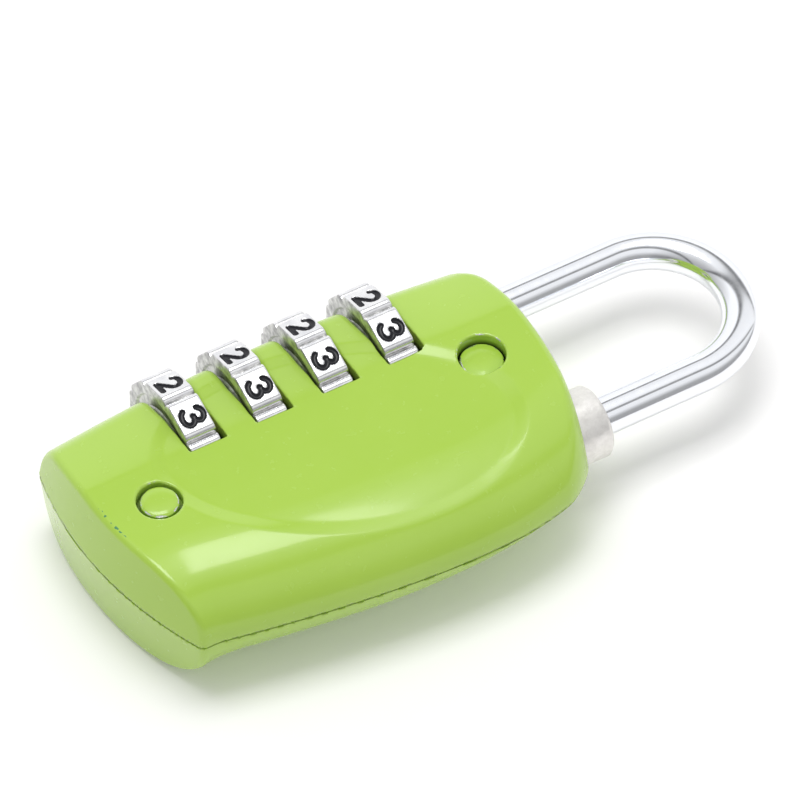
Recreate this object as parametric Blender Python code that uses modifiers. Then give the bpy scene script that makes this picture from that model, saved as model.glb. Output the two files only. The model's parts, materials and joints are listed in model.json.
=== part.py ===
"""Luggage combination padlock with four dials.

The case lies on its back. X runs along the lock towards the shackle, Y towards the dials, Z up out
of the front. All four dials turn on the long leg of the shackle. Each dial drives a code sleeve,
and the fins on the leg pass the sleeves' keyways only when all four keyways line up. Lengths below
are in millimetres and are scaled to metres when a mesh is made.
"""

import math

import bmesh
import bpy
from mathutils import Matrix, Vector

MM = 0.001

# Driving dimensions
ROD_R = 2.0
LEG_SPACING = 17.4
CROWN_X = 51.0
WHEELS = 4
PITCH = 7.47
WHEEL_WIDTH = 3.37
WHEEL_R = 7.825
DIGITS = 10
CASE_FRONT = 6.3
CASE_BACK = 8.1
CASE_BOTTOM_X = -13.2
CASE_TOP_X = 38.0
CASE_FAR_Y = -26.82
CASE_DIAL_Y = 5.05
WALL = 1.3
SPLIT = 0.1
RUNNING = 0.1
REST = 0.3

# The spindle's axis and the first wheel's face, measured from the middle of the lock's base
AXIS_Y = 9.57
AXIS_Z = CASE_BACK
FIRST_WHEEL_X = -24.24

# Case outline: how strongly each side bows, and how its edges are rounded and tapered
FAR_BOW = (21.0, 0.012, 1.7)
FAR_FLARE = (-6.5, 0.13)
FAR_CORNER = (24.0, 0.013)
DIAL_BOW = (12.5, 0.0011)
BOTTOM_BOW = (-5.0, 0.0127)
TOP_BOW = (-7.0, 0.0115)
CORNER_ROUNDING = (0.6, 3.0, 2.2, 0.8)
BOTTOM_RADIUS = 0.6
TOP_RADIUS = 0.9
FRONT_DIAL_RADIUS = 2.0
BACK_DIAL_RADIUS = 4.0
FRONT_END_DRAFT = 0.2
BACK_END_DRAFT = 0.1
TOP_DRAFT = 0.12
DIAL_DRAFT = 0.05
FRONT_ROLL = 9.5
BACK_ROLL = 14.0
CROWN_START_Y = -5.0
CROWN_FALL = 0.15

# Wheels
PAD_HALF = 1.5
PAD_R = 7.68
SHOULDER = 0.7
WHEEL_BEVEL = 0.25
WHEEL_BORE_R = 3.7
COUNTERBORE_R = 4.8
COUNTERBORE_X = (1.0, 2.1)
SPLINE_R = 3.95
SPLINE_WIDTH = 1.0

# Code sleeves
SLEEVE_R = 3.6
SLEEVE_LENGTH = 4.27
SLEEVE_OFFSET = -0.45
KEYWAY_R = 2.95
KEYWAY_WIDTH = 1.7
LUG_R = 4.6
LUG_WIDTH = 0.8
LUG_X = (2.15, 3.05)
RESET_TRAVEL = 1.0

# Shackle
FIN_R = 2.75
FIN_WIDTH = 1.3
FIN_LENGTH = 1.6
FIN_GAP = 0.3
LONG_LEG_END = -11.0
SHORT_LEG_END = 32.9
LEG_HOLE_R = ROD_R + RUNNING

# Case openings
SLOT_LEFT = 0.15
SLOT_WIDTH = 4.15
SLOT_END_Y = -4.9
POCKET_R = 7.95
TUNNEL_R = 3.8
TUNNEL_X = (-1.7, 28.25)
SPRING_TUNNEL_R = 3.5
SPRING_TUNNEL_X = -6.6
HOLLOW_Y = -10.2
HOLLOW_X = (-2.6, 26.9)
BUSH_R = 3.0
BUSH_END_X = 36.2
COLLAR_R = 3.8
COLLAR_START_X = 32.6
COLLAR_END_X = 39.1
COLLAR_CHAMFER = 0.45

# Rivets
RIVETS = ((-5.8, -9.4), (30.8, -8.9))
RIVET_R = 1.4
RIVET_HEAD_R = 1.95
RIVET_HEAD = 0.9
COUNTERBORE_HEAD_R = 2.45
FRONT_HEAD_TOP = (6.2, 5.4)

# Springs
LEAF_Y = -9.1
LEAF_THICKNESS = 0.3
LEAF_HALF_HEIGHT = 2.6
LEAF_POCKET_Y = (-9.6, -7.0)
LEAF_X = (-2.2, 26.8)
LEAF_POCKET_X = (-2.6, 27.2)
LEAF_FINGER_HALF = 1.5
LEAF_TIP_HALF = 0.5
SPRING_WIRE_R = 0.22
SPRING_R = 3.1
SPRING_TURNS = 5
WASHER_THICKNESS = 0.4
WASHER_R = 3.35

COLLECTION = "luggage_combination_padlock"


def clear_scene():
    for old in list(bpy.data.objects):
        bpy.data.objects.remove(old, do_unlink=True)


def new_collection(name, hidden=False):
    collection = bpy.data.collections.new(name)
    bpy.context.scene.collection.children.link(collection)
    collection.hide_render = hidden
    return collection


def material(name, colour, roughness, metallic):
    made = bpy.data.materials.new(name)
    made.use_nodes = True
    shader = made.node_tree.nodes["Principled BSDF"]
    shader.inputs["Base Color"].default_value = (*colour, 1.0)
    shader.inputs["Roughness"].default_value = roughness
    shader.inputs["Metallic"].default_value = metallic
    return made


def placed(x, y, z):
    """A point in metres, from millimetres measured from the spindle's axis and the first wheel."""
    return Vector((x + FIRST_WHEEL_X, y + AXIS_Y, z + AXIS_Z)) * MM


def link_mesh(name, bm, origin, collection, finish=None, smooth=30):
    """Makes an object from millimetre geometry, with its origin at a point of the lock."""
    bmesh.ops.recalc_face_normals(bm, faces=bm.faces)
    bm.transform(Matrix.Scale(MM, 4))
    mesh = bpy.data.meshes.new(name)
    bm.to_mesh(mesh)
    bm.free()
    made = bpy.data.objects.new(name, mesh)
    made.location = placed(*origin)
    collection.objects.link(made)
    if finish is not None:
        mesh.materials.append(finish)
    mesh.shade_smooth()
    mesh.set_sharp_from_angle(angle=math.radians(smooth))
    return made


def cutter_look(made):
    made.hide_render = True
    made.display_type = "WIRE"
    return made


def along_x(radius, start, end, segments):
    """A solid cylinder along X."""
    bm = bmesh.new()
    turn = Matrix.Translation(((start + end) / 2, 0, 0)) @ Matrix.Rotation(math.pi / 2, 4, "Y")
    bmesh.ops.create_cone(
        bm, cap_ends=True, segments=segments, radius1=radius, radius2=radius, depth=end - start, matrix=turn
    )
    return bm


def along_z(radius, start, end, segments):
    """A solid cylinder along Z."""
    bm = bmesh.new()
    bmesh.ops.create_cone(
        bm,
        cap_ends=True,
        segments=segments,
        radius1=radius,
        radius2=radius,
        depth=end - start,
        matrix=Matrix.Translation((0, 0, (start + end) / 2)),
    )
    return bm


def block(low, high):
    """A solid box between two corners."""
    bm = bmesh.new()
    size = [top - bottom for bottom, top in zip(low, high)]
    centre = [(top + bottom) / 2 for bottom, top in zip(low, high)]
    bmesh.ops.create_cube(bm, size=1.0, matrix=Matrix.Translation(centre) @ Matrix.Diagonal((*size, 1.0)))
    return bm


def boolean(target, other, operation):
    step = target.modifiers.new(other.name, "BOOLEAN")
    step.operation = operation
    step.object = other
    step.solver = "EXACT"


def turned_along_x(name, profile, steps, origin, collection, finish):
    """Turns an (x, radius) profile, given from the +X end down the outer side, about the X axis."""
    bm = bmesh.new()
    points = [bm.verts.new((radius * MM, 0, x * MM)) for x, radius in profile]
    for first, second in zip(points, points[1:]):
        bm.edges.new((first, second))
    if profile[0][1] > 0:
        bm.edges.new((points[-1], points[0]))
    mesh = bpy.data.meshes.new(name)
    bm.to_mesh(mesh)
    bm.free()
    made = bpy.data.objects.new(name, mesh)
    made.location = placed(*origin)
    made.rotation_euler = (0, math.pi / 2, 0)
    collection.objects.link(made)
    mesh.materials.append(finish)
    screw = made.modifiers.new("turn", "SCREW")
    screw.steps = steps
    screw.render_steps = steps
    screw.use_merge_vertices = True
    screw.merge_threshold = 0.00001
    screw.use_smooth_shade = False
    return made


# The case


def from_middle(x):
    """0 at the middle of the dials' side, rising towards both ends of the case."""
    return ((x - DIAL_BOW[0]) / 25.0) ** 2


def far_edge(x):
    """The far side's outline at the parting plane, bowed, and flared out at the bottom end."""
    bow = FAR_BOW[1] * abs(x - FAR_BOW[0]) ** FAR_BOW[2]
    flare = FAR_FLARE[1] * max(0.0, FAR_FLARE[0] - x) ** 1.5
    return CASE_FAR_Y + bow - flare + FAR_CORNER[1] * max(0.0, x - FAR_CORNER[0]) ** 2


def far_roll(x, front):
    """How wide the far side's rounding is, and its power: 2 is an ellipse and 1 a straight slope."""
    end = min(max((-4.0 - x) / 5.0, 0.0), 1.2) ** 1.5
    if front:
        return FRONT_ROLL, 2.0 + 0.1 * end
    slope = 2.03 - 0.006 * (x + 1.0) - 0.0012 * max(0.0, x - 8.0) ** 2
    return BACK_ROLL, max(1.4, slope) + 0.5 * end


def side_lines(height, half):
    """The four sides at a height above the parting plane, as functions: far, dial, bottom and top."""
    front = half == "front"
    depth = CASE_FRONT if front else CASE_BACK
    end_draft = FRONT_END_DRAFT if front else BACK_END_DRAFT
    rise = min(height / depth, 1.0)

    def rounded(radius):
        over = max(0.0, height - (depth - radius)) / radius
        return radius * (1 - math.sqrt(max(0.0, 1 - over**2)))

    def far(x):
        width, power = far_roll(x, front)
        return far_edge(x) + width * (1 - (1 - rise**power) ** (1 / power))

    def dial(x):
        radius = FRONT_DIAL_RADIUS + from_middle(x) if front else BACK_DIAL_RADIUS
        bow = DIAL_BOW[1] * (x - DIAL_BOW[0]) ** 2
        return CASE_DIAL_Y - bow - DIAL_DRAFT * height - rounded(radius)

    def bottom(y):
        bow = BOTTOM_BOW[1] * (y - BOTTOM_BOW[0]) ** 2
        return CASE_BOTTOM_X + bow + end_draft * height + rounded(BOTTOM_RADIUS)

    def top(y):
        bow = TOP_BOW[1] * (y - TOP_BOW[0]) ** 2
        return CASE_TOP_X - bow - TOP_DRAFT * height - rounded(TOP_RADIUS)

    return far, dial, bottom, top


def corner(end, side):
    """Where an end line x = end(y) meets a side line y = side(x)."""
    x, y = 10.0, 0.0
    for _ in range(12):
        x, y = end(y), side(x)
    return x, y


def case_ring(height, half, inset, along, across):
    """The case's outline at a height, as a closed ring: far side, top end, dial side, bottom end."""
    far, dial, bottom, top = side_lines(height, half)

    def far_in(x):
        return far(x) + inset

    def dial_in(x):
        return dial(x) - inset

    def bottom_in(y):
        return bottom(y) + inset

    def top_in(y):
        return top(y) - inset

    corners = [
        corner(bottom_in, far_in),
        corner(top_in, far_in),
        corner(top_in, dial_in),
        corner(bottom_in, dial_in),
    ]
    spans = []
    for k in range(4):
        start, finish = corners[k], corners[(k + 1) % 4]
        lengthwise = k % 2 == 0
        line = (far_in, top_in, dial_in, bottom_in)[k]
        axis = 0 if lengthwise else 1
        first, last = start[axis], finish[axis]
        sign = 1 if last > first else -1
        first += sign * CORNER_ROUNDING[k]
        last -= sign * CORNER_ROUNDING[(k + 1) % 4]
        count = along if lengthwise else across
        span = []
        for i in range(count + 1):
            at = first + (last - first) * i / count
            span.append((at, line(at)) if lengthwise else (line(at), at))
        spans.append(span)
    ring = []
    for k in range(4):
        before, after, apex = Vector(spans[k - 1][-1]), Vector(spans[k][0]), Vector(corners[k])
        for t in (0.33, 0.67):
            ring.append(tuple((1 - t) ** 2 * before + 2 * t * (1 - t) * apex + t * t * after))
        ring.extend(spans[k])
    return ring


def crown_drop(x, y):
    """How far the front falls away towards the dials, as a share of its height."""
    fall = CROWN_FALL * (1.0 + from_middle(x))
    return 1.0 - fall * max(0.0, (y - CROWN_START_Y) / 8.0) ** 1.5


def case_half(name, half, inset, base, collection, finish):
    """A solid half of the case, from its parting face out to its flat top."""
    full_depth = CASE_FRONT if half == "front" else CASE_BACK
    depth = full_depth - inset
    sign = 1 if half == "front" else -1
    bm = bmesh.new()
    rings = []
    for phi in (0, 14, 28, 42, 56, 68, 79, 90):
        share = math.sin(math.radians(phi))
        ring = []
        for x, y in case_ring(full_depth * share, half, inset, 11, 6):
            height = depth * share * (crown_drop(x, y) if half == "front" else 1.0)
            ring.append(bm.verts.new((x, y, sign * (base if phi == 0 else max(height, base + 0.01)))))
        rings.append(ring)
    for lower, upper in zip(rings, rings[1:]):
        for i, point in enumerate(lower):
            after = (i + 1) % len(lower)
            bm.faces.new((point, lower[after], upper[after], upper[i]))
    bm.faces.new(rings[0])
    cap = bm.faces.new(rings[-1])
    bmesh.ops.triangulate(bm, faces=[cap])
    return link_mesh(name, bm, (0, 0, 0), collection, finish, smooth=40)


def make_case(parts, cutters, paint):
    wheel_x = [i * PITCH for i in range(WHEELS)]
    pocket_z = LEAF_HALF_HEIGHT + REST

    slots = []
    for i, x in enumerate(wheel_x):
        low = (x - SLOT_LEFT, SLOT_END_Y, -20)
        high = (x - SLOT_LEFT + SLOT_WIDTH, 20, 20)
        slots.append(cutter_look(link_mesh(f"slot_{i + 1}", block(low, high), (0, 0, 0), cutters)))
        pocket = along_x(POCKET_R, x - SLOT_LEFT, x - SLOT_LEFT + SLOT_WIDTH, 40)
        slots.append(cutter_look(link_mesh(f"wheel_pocket_{i + 1}", pocket, (0, 0, 0), cutters)))

    bores = [
        ("tunnel", along_x(TUNNEL_R, *TUNNEL_X, 32), (0, 0, 0)),
        ("spring_tunnel", along_x(SPRING_TUNNEL_R, SPRING_TUNNEL_X, 0, 32), (0, 0, 0)),
        ("leg_hole", along_x(LEG_HOLE_R + 0.02, LONG_LEG_END - REST, 0, 24), (0, 0, 0)),
        ("bush_bore", along_x(BUSH_R + RUNNING, TUNNEL_X[1] - 1, 45, 24), (0, 0, 0)),
        ("socket", along_x(COLLAR_R + RUNNING, COLLAR_START_X - REST, 45, 28), (0, -LEG_SPACING, 0)),
        ("leaf_pocket", block(*zip(LEAF_POCKET_X, LEAF_POCKET_Y, (-pocket_z, pocket_z))), (0, 0, 0)),
    ]
    shared = slots + [cutter_look(link_mesh(name, bm, at, cutters)) for name, bm, at in bores]

    shells = []
    for half, base_name in (("front", "front_shell"), ("rear", "rear_shell")):
        sign = 1 if half == "front" else -1
        shell = case_half(base_name, half, 0.0, SPLIT, parts, paint)
        hollow = case_half(f"{half}_hollow", half, WALL, 0.0, cutters, None)
        hollow.location.z -= sign * 0.05 * MM
        room = block((HOLLOW_X[0], -40, -20), (HOLLOW_X[1], HOLLOW_Y, 20))
        limit = link_mesh(f"{half}_hollow_limit", room, (0, 0, 0), cutters)
        cutter_look(hollow)
        cutter_look(limit)
        boolean(hollow, limit, "INTERSECT")
        boolean(shell, hollow, "DIFFERENCE")
        for other in shared:
            boolean(shell, other, "DIFFERENCE")
        for i, (x, y) in enumerate(RIVETS):
            hole = along_z(RIVET_R + RUNNING, -20, 20, 20)
            hole = cutter_look(link_mesh(f"{half}_rivet_hole_{i + 1}", hole, (x, y, 0), cutters))
            boolean(shell, hole, "DIFFERENCE")
            if half == "front":
                mouth = along_z(COUNTERBORE_HEAD_R, FRONT_HEAD_TOP[i] - RIVET_HEAD - REST, 20, 28)
            else:
                mouth = along_z(COUNTERBORE_HEAD_R, -20, -(CASE_BACK - RIVET_HEAD - 0.5), 28)
            mouth = cutter_look(link_mesh(f"{half}_rivet_mouth_{i + 1}", mouth, (x, y, 0), cutters))
            boolean(shell, mouth, "DIFFERENCE")
        shells.append(shell)
    return shells


def make_rivets(parts, paint):
    for i, name in enumerate(("lower_rivet", "upper_rivet")):
        top = FRONT_HEAD_TOP[i]
        bottom = -(CASE_BACK - 0.35)
        profile = [
            (top, 0.0),
            (top - 0.08, 1.1),
            (top - 0.3, RIVET_HEAD_R - 0.12),
            (top - 0.5, RIVET_HEAD_R),
            (top - RIVET_HEAD, RIVET_HEAD_R),
            (top - RIVET_HEAD, RIVET_R),
            (bottom + 0.55, RIVET_R),
            (bottom + 0.55, RIVET_HEAD_R),
            (bottom + 0.2, RIVET_HEAD_R),
            (bottom, RIVET_HEAD_R - 0.4),
            (bottom, 0.0),
        ]
        rivet = turned_along_x(name, profile, 28, (*RIVETS[i], 0), parts, paint)
        rivet.rotation_euler = (0, 0, 0)


# The dials


def pad_outline():
    """The wheel's outline as (angle, radius): ten flat pads, their rounded shoulders and narrow troughs."""
    turns = [math.radians(angle) for angle in (90, 60, 30, 0)]
    side = [(PAD_HALF + SHOULDER * math.sin(t), PAD_R - SHOULDER * (1 - math.cos(t))) for t in turns]
    tooth = [(-across, out) for across, out in side] + side[::-1]
    outline = []
    for digit in range(DIGITS):
        middle = 2 * math.pi * digit / DIGITS
        outline += [(middle + math.atan2(across, out), math.hypot(across, out)) for across, out in tooth]
    return outline


def make_wheel(index, parts, cutters, metal):
    """A wheel with its origin on its axis. A digit n lies at n tenths of a turn from +Y towards +Z."""
    bm = bmesh.new()
    x = index * PITCH
    stations = (
        (0.0, WHEEL_BEVEL),
        (WHEEL_BEVEL, 0.0),
        (WHEEL_WIDTH - WHEEL_BEVEL, 0.0),
        (WHEEL_WIDTH, WHEEL_BEVEL),
    )
    rings = []
    for at, inset in stations:
        ring = [(at, (r - inset) * math.cos(a), (r - inset) * math.sin(a)) for a, r in pad_outline()]
        rings.append([bm.verts.new(point) for point in ring])
    for left, right in zip(rings, rings[1:]):
        for i, point in enumerate(left):
            after = (i + 1) % len(left)
            bm.faces.new((point, left[after], right[after], right[i]))
    bm.faces.new(rings[0])
    bm.faces.new(rings[-1])
    wheel = link_mesh(f"dial_wheel_{index + 1}", bm, (x, 0, 0), parts, metal)

    bores = [
        along_x(WHEEL_BORE_R, -1, WHEEL_WIDTH + 1, 40),
        along_x(COUNTERBORE_R, *COUNTERBORE_X, 40),
        along_x(SPLINE_R, COUNTERBORE_X[1] - 0.05, WHEEL_WIDTH + 1, 40),
    ]
    for k, bore in enumerate(bores):
        bore = cutter_look(link_mesh(f"wheel_bore_{index + 1}_{k}", bore, (x, 0, 0), cutters))
        boolean(wheel, bore, "DIFFERENCE")
    splines = bmesh.new()
    for digit in range(DIGITS // 2):
        turn = Matrix.Rotation(2 * math.pi * digit / DIGITS, 4, "X")
        middle = (COUNTERBORE_X[1] - 0.05 + WHEEL_WIDTH + 1) / 2
        length = WHEEL_WIDTH + 1 - COUNTERBORE_X[1] + 0.05
        size = Matrix.Diagonal((length, 2 * (LUG_R + RUNNING), SPLINE_WIDTH, 1.0))
        bmesh.ops.create_cube(splines, size=1.0, matrix=turn @ Matrix.Translation((middle, 0, 0)) @ size)
    cut = cutter_look(link_mesh(f"splines_{index + 1}", splines, (x, 0, 0), cutters))
    step = wheel.modifiers.new("splines", "BOOLEAN")
    step.operation = "DIFFERENCE"
    step.object = cut
    step.solver = "EXACT"
    step.use_self = True


def make_sleeve(index, parts, cutters, brass):
    """A code sleeve on the long leg, with a keyway towards -Y and two lugs for the wheel's splines."""
    x = index * PITCH
    start = SLEEVE_OFFSET
    sleeve = link_mesh(
        f"code_sleeve_{index + 1}", along_x(SLEEVE_R, start, start + SLEEVE_LENGTH, 36), (x, 0, 0), parts, brass
    )
    lugs = block((LUG_X[0], -LUG_R, -LUG_WIDTH / 2), (LUG_X[1], LUG_R, LUG_WIDTH / 2))
    boolean(sleeve, cutter_look(link_mesh(f"lugs_{index + 1}", lugs, (x, 0, 0), cutters)), "UNION")
    bore = along_x(LEG_HOLE_R, start - 1, start + SLEEVE_LENGTH + 1, 32)
    bore = cutter_look(link_mesh(f"sleeve_bore_{index + 1}", bore, (x, 0, 0), cutters))
    boolean(sleeve, bore, "DIFFERENCE")
    low = (start - 1, -KEYWAY_R, -KEYWAY_WIDTH / 2)
    high = (start + SLEEVE_LENGTH + 1, 0, KEYWAY_WIDTH / 2)
    keyway = cutter_look(link_mesh(f"keyway_{index + 1}", block(low, high), (x, 0, 0), cutters))
    boolean(sleeve, keyway, "DIFFERENCE")


# The shackle


def make_shackle(parts, cutters, chrome):
    """One bent rod with four fins on its long leg. Its origin is on the long leg's axis."""
    radius = LEG_SPACING / 2
    route = [(LONG_LEG_END, 0.0), (CROWN_X, 0.0)]
    bends = 14
    for i in range(1, bends):
        angle = math.pi * i / bends
        route.append((CROWN_X + radius * math.sin(angle), -radius + radius * math.cos(angle)))
    route += [(CROWN_X, -LEG_SPACING), (SHORT_LEG_END, -LEG_SPACING)]
    curve = bpy.data.curves.new("shackle_route", "CURVE")
    curve.dimensions = "3D"
    curve.bevel_depth = ROD_R * MM
    curve.bevel_resolution = 4
    curve.use_fill_caps = True
    spline = curve.splines.new("POLY")
    spline.points.add(len(route) - 1)
    for point, (x, y) in zip(spline.points, route):
        point.co = (x * MM, y * MM, 0.0, 1.0)
    guide = bpy.data.objects.new("shackle_route", curve)
    guide.location = placed(0, 0, 0)
    parts.objects.link(guide)
    bpy.context.view_layer.update()
    mesh = bpy.data.meshes.new_from_object(guide.evaluated_get(bpy.context.evaluated_depsgraph_get()))
    bm = bmesh.new()
    bm.from_mesh(mesh)
    bmesh.ops.remove_doubles(bm, verts=bm.verts, dist=0.000001)
    bmesh.ops.recalc_face_normals(bm, faces=bm.faces)
    bm.to_mesh(mesh)
    bm.free()
    shackle = bpy.data.objects.new("shackle", mesh)
    shackle.matrix_world = guide.matrix_world
    bpy.data.objects.remove(guide, do_unlink=True)
    parts.objects.link(shackle)
    mesh.materials.clear()
    mesh.materials.append(chrome)
    mesh.shade_smooth()
    mesh.set_sharp_from_angle(angle=math.radians(50))
    for i in range(WHEELS):
        start = i * PITCH + SLEEVE_OFFSET - (PITCH - SLEEVE_LENGTH) + FIN_GAP
        fin = block((start, -FIN_R, -FIN_WIDTH / 2), (start + FIN_LENGTH, -ROD_R / 2, FIN_WIDTH / 2))
        boolean(shackle, cutter_look(link_mesh(f"fin_{i + 1}", fin, (0, 0, 0), cutters)), "UNION")


def make_bushes(parts, steel):
    collar = [
        (COLLAR_END_X, ROD_R + RUNNING),
        (COLLAR_END_X, COLLAR_R - COLLAR_CHAMFER),
        (COLLAR_END_X - COLLAR_CHAMFER, COLLAR_R),
        (COLLAR_START_X, COLLAR_R),
        (COLLAR_START_X, ROD_R + RUNNING),
    ]
    turned_along_x("shackle_socket_bush", collar, 40, (0, -LEG_SPACING, 0), parts, steel)
    guide = [
        (BUSH_END_X, ROD_R + RUNNING),
        (BUSH_END_X, BUSH_R),
        (TUNNEL_X[1], BUSH_R),
        (TUNNEL_X[1], ROD_R + RUNNING),
    ]
    turned_along_x("spindle_bush", guide, 32, (0, 0, 0), parts, steel)


# The springs


def make_reset_spring(parts, steel):
    """The coil spring around the long leg, at its compressed length."""
    start = SPRING_TUNNEL_X + REST + SPRING_WIRE_R
    end = SLEEVE_OFFSET - RESET_TRAVEL - REST - WASHER_THICKNESS - REST - SPRING_WIRE_R
    curve = bpy.data.curves.new("reset_spring", "CURVE")
    curve.dimensions = "3D"
    curve.bevel_depth = SPRING_WIRE_R * MM
    curve.bevel_resolution = 1
    curve.use_fill_caps = True
    spline = curve.splines.new("POLY")
    count = 14 * SPRING_TURNS
    spline.points.add(count)
    for i, point in enumerate(spline.points):
        angle = 2 * math.pi * SPRING_TURNS * i / count
        at = start + (end - start) * i / count
        point.co = (at * MM, SPRING_R * MM * math.cos(angle), SPRING_R * MM * math.sin(angle), 1.0)
    spring = bpy.data.objects.new("reset_spring", curve)
    spring.location = placed(0, 0, 0)
    curve.materials.append(steel)
    parts.objects.link(spring)


def make_washer(parts, steel):
    end = SLEEVE_OFFSET - RESET_TRAVEL - REST
    profile = [
        (end, FIN_R + RUNNING),
        (end, WASHER_R),
        (end - WASHER_THICKNESS, WASHER_R),
        (end - WASHER_THICKNESS, FIN_R + RUNNING),
    ]
    turned_along_x("thrust_washer", profile, 32, (0, 0, 0), parts, steel)


def make_detent_spring(parts, steel):
    """A leaf along the wheels with one finger bent towards each of them."""
    tip_y = -WHEEL_R - REST + 0.05
    outline = [(LEAF_X[0], LEAF_Y)]
    for i in range(WHEELS):
        middle = i * PITCH + WHEEL_WIDTH / 2
        for across, y in ((-LEAF_FINGER_HALF, LEAF_Y), (-LEAF_TIP_HALF, tip_y), (LEAF_TIP_HALF, tip_y)):
            outline.append((middle + across, y))
        outline.append((middle + LEAF_FINGER_HALF, LEAF_Y))
    outline.append((LEAF_X[1], LEAF_Y))
    bm = bmesh.new()
    rows = []
    for z in (-LEAF_HALF_HEIGHT, LEAF_HALF_HEIGHT):
        rows.append([bm.verts.new((x, y, z)) for x, y in outline])
    for i in range(len(outline) - 1):
        bm.faces.new((rows[0][i], rows[0][i + 1], rows[1][i + 1], rows[1][i]))
    leaf = link_mesh("detent_spring", bm, (0, 0, 0), parts, steel)
    thick = leaf.modifiers.new("thickness", "SOLIDIFY")
    thick.thickness = LEAF_THICKNESS * MM
    thick.offset = 1.0
    return leaf


def main():
    clear_scene()
    parts = new_collection(COLLECTION)
    cutters = new_collection("cutters", hidden=True)

    paint = material("green_paint", (0.40, 0.70, 0.06), 0.18, 0.0)
    polished = material("polished_zinc", (0.80, 0.80, 0.80), 0.18, 1.0)
    chrome = material("chrome", (0.90, 0.90, 0.92), 0.05, 1.0)
    nickel = material("dull_nickel", (0.62, 0.60, 0.57), 0.38, 1.0)
    brass = material("brass", (0.72, 0.56, 0.26), 0.35, 1.0)
    spring_steel = material("spring_steel", (0.50, 0.51, 0.53), 0.30, 1.0)

    make_case(parts, cutters, paint)
    make_rivets(parts, paint)
    for index in range(WHEELS):
        make_wheel(index, parts, cutters, polished)
        make_sleeve(index, parts, cutters, brass)
    make_shackle(parts, cutters, chrome)
    make_bushes(parts, nickel)
    make_reset_spring(parts, spring_steel)
    make_washer(parts, spring_steel)
    make_detent_spring(parts, spring_steel)


main()
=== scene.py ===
"""Looks of the luggage combination padlock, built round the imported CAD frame.

Lengths are in millimetres in the lock's own frame: x runs from the first dial's left face towards the
shackle, y from the dials' axis towards the side that they stick out of, and z from the parting plane out
of the front.
"""

import json
import math

import bmesh
import bpy
import numpy as np
import openvdb
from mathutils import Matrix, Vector


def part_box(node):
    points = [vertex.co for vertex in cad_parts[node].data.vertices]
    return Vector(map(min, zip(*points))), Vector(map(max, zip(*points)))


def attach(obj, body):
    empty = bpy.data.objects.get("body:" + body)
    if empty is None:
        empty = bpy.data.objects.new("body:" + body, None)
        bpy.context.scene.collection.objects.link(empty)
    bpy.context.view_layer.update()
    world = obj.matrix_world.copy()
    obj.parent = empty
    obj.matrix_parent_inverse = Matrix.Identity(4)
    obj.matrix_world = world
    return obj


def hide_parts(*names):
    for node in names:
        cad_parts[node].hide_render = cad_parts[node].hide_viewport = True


MM = 0.001

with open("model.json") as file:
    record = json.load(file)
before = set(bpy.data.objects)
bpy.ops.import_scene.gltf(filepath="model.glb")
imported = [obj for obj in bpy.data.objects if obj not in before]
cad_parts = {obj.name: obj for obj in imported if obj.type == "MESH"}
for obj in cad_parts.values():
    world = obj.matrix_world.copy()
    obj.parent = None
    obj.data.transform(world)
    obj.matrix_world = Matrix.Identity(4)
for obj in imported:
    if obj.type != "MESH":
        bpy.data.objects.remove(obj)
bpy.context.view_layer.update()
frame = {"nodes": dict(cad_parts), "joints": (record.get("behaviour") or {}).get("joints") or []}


def cad_mm(node):
    """A CAD node's lowest and highest corners, in millimetres in the lock's own frame."""
    low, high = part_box(node)
    return (low - ORIGIN) / MM, (high - ORIGIN) / MM


first_dial = next(joint for joint in frame["joints"] if joint["name"] == "dial_1_turn")
ORIGIN = Vector((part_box("dial_wheel_1")[0].x, first_dial["pos_m"][1], first_dial["pos_m"][2]))

# Sizes read from the frame
DIALS = 4
WHEEL_WIDTH = cad_mm("dial_wheel_1")[1].x
PITCH = cad_mm("dial_wheel_2")[0].x
CASE_FRONT = cad_mm("front_shell")[1].z
CASE_BACK = -cad_mm("rear_shell")[0].z
CASE_FAR_Y = cad_mm("front_shell")[0].y
CASE_DIAL_Y = cad_mm("front_shell")[1].y
CASE_BOTTOM_X = cad_mm("front_shell")[0].x
CASE_TOP_X = cad_mm("front_shell")[1].x
SPLIT = cad_mm("front_shell")[0].z
ROD_R = cad_mm("shackle")[1].z
COLLAR_LOW, COLLAR_HIGH = cad_mm("shackle_socket_bush")
SHORT_LEG_Y = (COLLAR_LOW.y + COLLAR_HIGH.y) / 2
COLLAR_R = (COLLAR_HIGH.y - COLLAR_LOW.y) / 2
RIVETS = [tuple((a + b) / 2 for a, b in zip(*cad_mm(node))) for node in ("lower_rivet", "upper_rivet")]
RIVET_TOPS = [cad_mm(node)[1].z for node in ("lower_rivet", "upper_rivet")]

# Case outline: where each side starts to bow or flare, how strongly, and the power where it isn't 2
MIDDLE_X = 12.5
FAR_BOW = (21.0, 0.012, 1.7)
FAR_FLARE = (-6.5, 0.13, 1.5)
FAR_CORNER = (24.0, 0.013)
DIAL_BOW = 0.001
BOTTOM_BOW = (-5.0, 0.0127)
TOP_BOW = (-7.0, 0.0115)

# Case cross-section: the far side's rounding, the sides' taper with height, and the edges' radii
FAR_ROLL = {"front": 9.5, "rear": 14.0}
END_DRAFT = {"front": 0.2, "rear": 0.1}
DIAL_DRAFT = 0.05
TOP_DRAFT = 0.12
DIAL_RADIUS = {"front": 2.0, "rear": 4.0}
BOTTOM_RADIUS = 0.6
TOP_RADIUS = 0.9
TOP_RADIUS_FAR = 2.1
TOP_RADIUS_DIAL = 1.3
CROWN_START_Y = -5.0
CROWN_FALL = 0.15

# The dish in the front face
DISH_CENTRE = (13.5, -10.84)
DISH_HALF = (18.1, 11.15)
DISH_TILT = -19
DISH_DEPTH = 0.32
DISH_EDGE = 1.45
DISH_SOFTNESS = 0.015

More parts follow.
